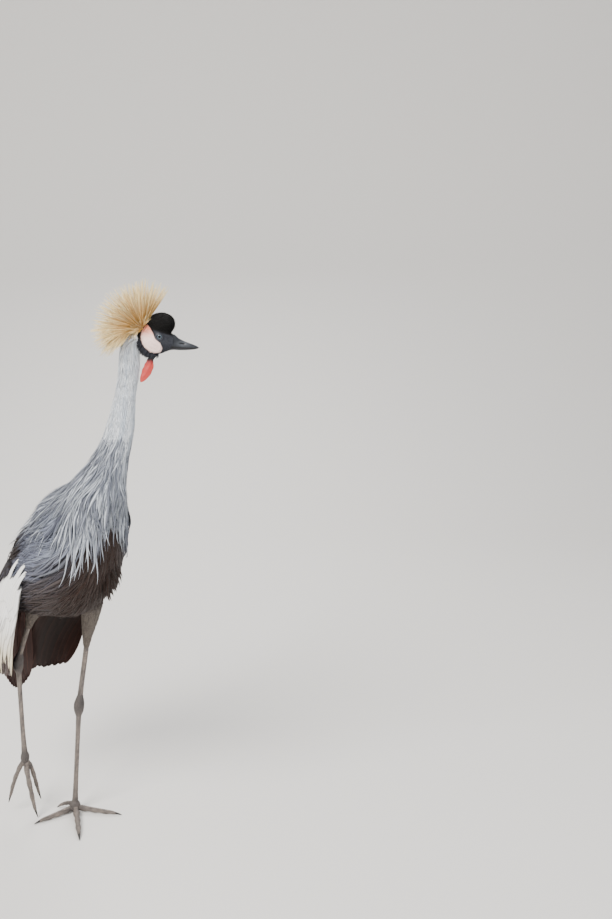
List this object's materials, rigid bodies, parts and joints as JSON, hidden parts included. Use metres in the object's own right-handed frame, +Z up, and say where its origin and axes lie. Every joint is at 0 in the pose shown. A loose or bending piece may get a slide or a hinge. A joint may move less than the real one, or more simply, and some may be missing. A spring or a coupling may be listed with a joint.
{
  "type": "grey crowned crane",
  "caption": "Still life-size crowned crane standing on one long leg with the other foot lifted, neck upright, fan crest, folded drooping wings.",
  "frame": {"origin": "centre of the sole of the standing left foot, on the ground", "axes": "+X the way the body heads, +Y to the bird's left, +Z up"},
  "size_m": [0.4487, 0.2091, 1.0347],
  "materials": {
    "bill": "satin dark horn",
    "body_plumage": "slate to brown-grey plumage",
    "cheek_skin": "bare soft skin, white with a flush of pink",
    "crest_straw": "stiff straw-coloured bristles, paler to the tips",
    "eye": "wet, glossy pale blue-grey eye",
    "leg_scales": "dark grey horny scales",
    "neck_plumes": "pale grey long soft plumes",
    "tail_feathers": "black-brown feathers",
    "velvet": "dense black velvet plumage",
    "wattle_skin": "bare soft red skin",
    "wing_feathers": "slate plumes, white coverts and chestnut flight feathers"
  },
  "bodies": {
    "root": {"bill_lower": "bill", "bill_upper": "bill", "cheek_left": "cheek_skin", "cheek_right": "cheek_skin", "crest": "crest_straw", "eye_left": "eye", "eye_right": "eye", "foot_left": "leg_scales", "foot_right": "leg_scales", "forehead_cap": "velvet", "hock_left": "leg_scales", "hock_right": "leg_scales", "neck_base": "neck_plumes", "neck_middle": "neck_plumes", "neck_upper": "neck_plumes", "shin_left": "leg_scales", "shin_right": "leg_scales", "skull": "velvet", "tail": "tail_feathers", "tarsus_left": "leg_scales", "tarsus_right": "leg_scales", "thigh_left": "neck_plumes", "thigh_right": "neck_plumes", "toe_back_left": "leg_scales", "toe_back_right": "leg_scales", "toe_inner_left": "leg_scales", "toe_inner_right": "leg_scales", "toe_middle_left": "leg_scales", "toe_middle_right": "leg_scales", "toe_outer_left": "leg_scales", "toe_outer_right": "leg_scales", "torso": "body_plumage", "wattle": "wattle_skin", "wing_left": "wing_feathers", "wing_right": "wing_feathers"}
  },
  "joints": []
}
